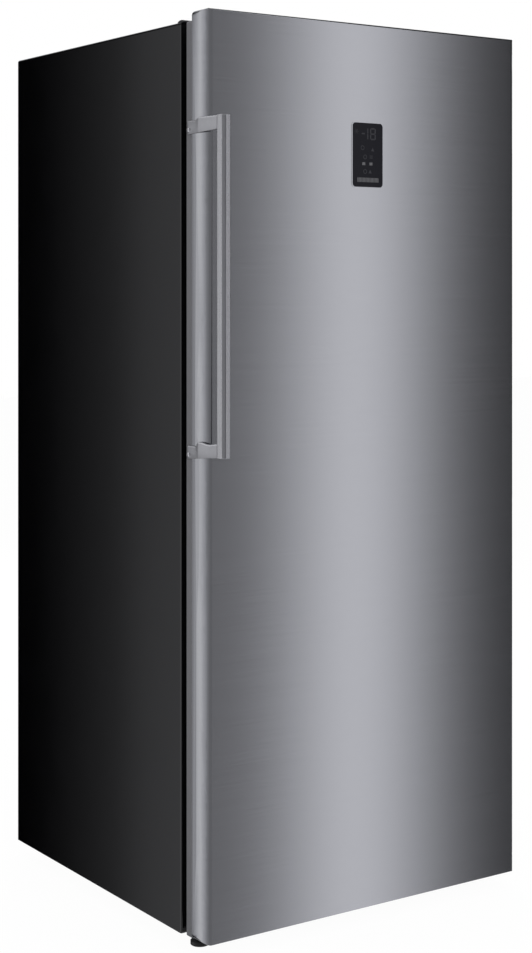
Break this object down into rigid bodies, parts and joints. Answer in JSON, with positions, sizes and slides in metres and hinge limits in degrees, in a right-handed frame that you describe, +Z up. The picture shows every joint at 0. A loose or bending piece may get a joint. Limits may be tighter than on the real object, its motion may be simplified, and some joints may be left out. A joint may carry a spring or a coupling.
{
  "type": "upright freezer",
  "caption": "Tall single-door upright freezer with dark sides, brushed door, side-mounted bar handle, shelves, drawers and door bins.",
  "frame": {"origin": "on the floor, in the middle of the width and of the whole depth", "axes": "+X to the right seen from the front, -Y out of the front, +Z up"},
  "size_m": [0.7149, 0.766, 1.637],
  "materials": {
    "dark_paint": "satin",
    "brushed_skin": "satin",
    "bright_steel": "satin",
    "door_band": "satin",
    "dark_plastic": "matte",
    "gasket_rubber": "matte",
    "liner_white": "satin",
    "foam": "matte",
    "zinc_steel": "satin",
    "panel_glass": "gloss",
    "clear_tray": "gloss",
    "shelf_pane": "gloss",
    "aluminium_fin": "satin",
    "copper_line": "satin",
    "fan_plastic": "satin",
    "compressor_black": "gloss",
    "lamp_frost": "satin",
    "nylon": "satin"
  },
  "bodies": {
    "cabinet": {"back_panel": "zinc_steel", "base_pan": "zinc_steel", "bottom_hinge": "dark_paint", "cabinet_foam": "foam", "cabinet_shell": "dark_paint", "compressor": "compressor_black", "compressor_deck": "zinc_steel", "compressor_grommets": "gasket_rubber", "condenser_coil": "aluminium_fin", "condenser_fan_motor": "zinc_steel", "control_box": "dark_plastic", "cord_gland": "gasket_rubber", "cover_screws": "zinc_steel", "defrost_heater": "aluminium_fin", "drawer_rails": "liner_white", "evaporation_tray": "dark_plastic", "evaporator_coil": "aluminium_fin", "evaporator_cover": "liner_white", "evaporator_fan_motor": "dark_plastic", "filter_drier": "copper_line", "front_top_trim": "dark_plastic", "hinge_screws": "zinc_steel", "inner_liner": "liner_white", "lamp_lens": "lamp_frost", "rear_cover": "dark_paint", "refrigerant_lines": "copper_line", "roller_axles": "zinc_steel", "roller_brackets": "zinc_steel", "shelf_1": "liner_white", "shelf_2": "liner_white", "shelf_3": "liner_white", "shelf_4": "liner_white", "shelf_glass": "shelf_pane", "top_hinge": "zinc_steel", "top_hinge_cover": "dark_plastic"},
    "door": {"door_skin": "brushed_skin", "door_frame": "door_band", "door_top_cap": "dark_plastic", "door_liner": "liner_white", "door_foam": "foam", "door_gasket": "gasket_rubber", "display_housing": "dark_plastic", "display_panel": "panel_glass", "handle_bar": "bright_steel", "handle_bracket_upper": "bright_steel", "handle_bracket_lower": "bright_steel", "handle_screws": "bright_steel", "hinge_bushes": "nylon", "door_bin_1": "clear_tray", "door_bin_2": "clear_tray", "door_bin_3": "clear_tray", "door_bin_4": "clear_tray"},
    "drawer_lower": {"drawer_lower": "clear_tray"},
    "drawer_upper": {"drawer_upper": "clear_tray"},
    "foot_front_left": {"foot_front_left": "dark_plastic"},
    "foot_front_right": {"foot_front_right": "dark_plastic"},
    "roller_left": {"roller_left": "nylon"},
    "roller_right": {"roller_right": "nylon"},
    "condenser_fan": {"condenser_fan_blades": "fan_plastic"},
    "evaporator_fan": {"evaporator_fan_blades": "fan_plastic"}
  },
  "joints": [
    {"name": "door_hinge", "type": "hinge", "parent": "cabinet", "child": "door", "pos_m": [0.337, -0.2805, 0.03], "axis": [0, 0, 1], "range_deg": [0, 110]},
    {"name": "drawer_lower_slide", "type": "slide", "parent": "cabinet", "child": "drawer_lower", "axis": [0, -1, 0], "range_m": [0, 0.2516]},
    {"name": "drawer_upper_slide", "type": "slide", "parent": "cabinet", "child": "drawer_upper", "axis": [0, -1, 0], "range_m": [0, 0.2516]},
    {"name": "foot_left_screw", "type": "slide", "parent": "cabinet", "child": "foot_front_left", "axis": [0, 0, -1], "range_m": [0, 0.015]},
    {"name": "foot_right_screw", "type": "slide", "parent": "cabinet", "child": "foot_front_right", "axis": [0, 0, -1], "range_m": [0, 0.015]},
    {"name": "roller_left_spin", "type": "hinge", "parent": "cabinet", "child": "roller_left", "pos_m": [-0.3, 0.328, 0.014], "axis": [1, 0, 0], "continuous": true},
    {"name": "roller_right_spin", "type": "hinge", "parent": "cabinet", "child": "roller_right", "pos_m": [0.3, 0.328, 0.014], "axis": [1, 0, 0], "continuous": true},
    {"name": "condenser_fan_spin", "type": "hinge", "parent": "cabinet", "child": "condenser_fan", "pos_m": [0.02, 0.283, 0.13], "axis": [-1, 0, 0], "continuous": true},
    {"name": "evaporator_fan_spin", "type": "hinge", "parent": "cabinet", "child": "evaporator_fan", "pos_m": [0, 0.262, 1.18], "axis": [0, -1, 0], "continuous": true}
  ],
  "couplings": [
    {"joint": "drawer_lower_slide", "follows": "door_hinge", "m_per_rad": 0.13},
    {"joint": "drawer_upper_slide", "follows": "door_hinge", "m_per_rad": 0.13}
  ]
}
